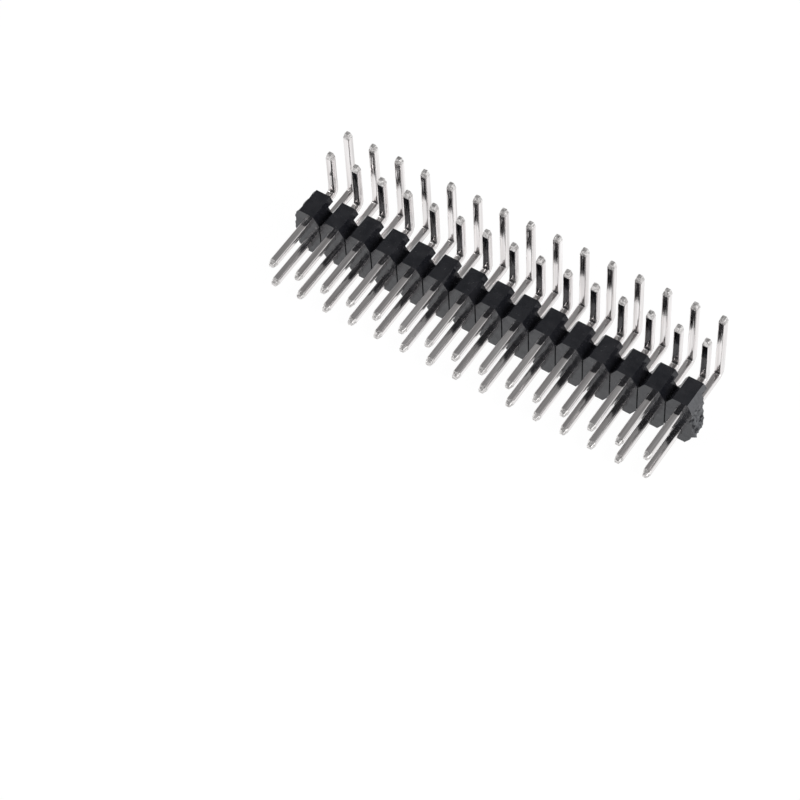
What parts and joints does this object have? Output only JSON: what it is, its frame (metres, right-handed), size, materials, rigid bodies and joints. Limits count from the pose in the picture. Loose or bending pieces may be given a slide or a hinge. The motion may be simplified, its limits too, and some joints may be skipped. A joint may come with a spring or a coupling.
{
  "type": "pin header strip",
  "caption": "Right-angle double-row pin header: a black moulded housing with V notches between its cells, square tinned pins bent up at the back, both ends snapped.",
  "frame": {"origin": "centre of the housing's underside, midway along the strip and midway between its mating face and its back", "axes": "+X along the strip, -Y the way the mating posts point, +Y the side of the bent tails, +Z the way the tails stand up"},
  "size_m": [0.0385, 0.012, 0.0088],
  "materials": {
    "housing": "black glass-filled nylon, moulded smooth, pale and rough where it was snapped",
    "pins": "brass wire under bright tin plating"
  },
  "bodies": {
    "root": {"housing": "housing", "long_pin_01": "pins", "long_pin_02": "pins", "long_pin_03": "pins", "long_pin_04": "pins", "long_pin_05": "pins", "long_pin_06": "pins", "long_pin_07": "pins", "long_pin_08": "pins", "long_pin_09": "pins", "long_pin_10": "pins", "long_pin_11": "pins", "long_pin_12": "pins", "long_pin_13": "pins", "long_pin_14": "pins", "long_pin_15": "pins", "short_pin_01": "pins", "short_pin_02": "pins", "short_pin_03": "pins", "short_pin_04": "pins", "short_pin_05": "pins", "short_pin_06": "pins", "short_pin_07": "pins", "short_pin_08": "pins", "short_pin_09": "pins", "short_pin_10": "pins", "short_pin_11": "pins", "short_pin_12": "pins", "short_pin_13": "pins", "short_pin_14": "pins", "short_pin_15": "pins"}
  },
  "joints": []
}
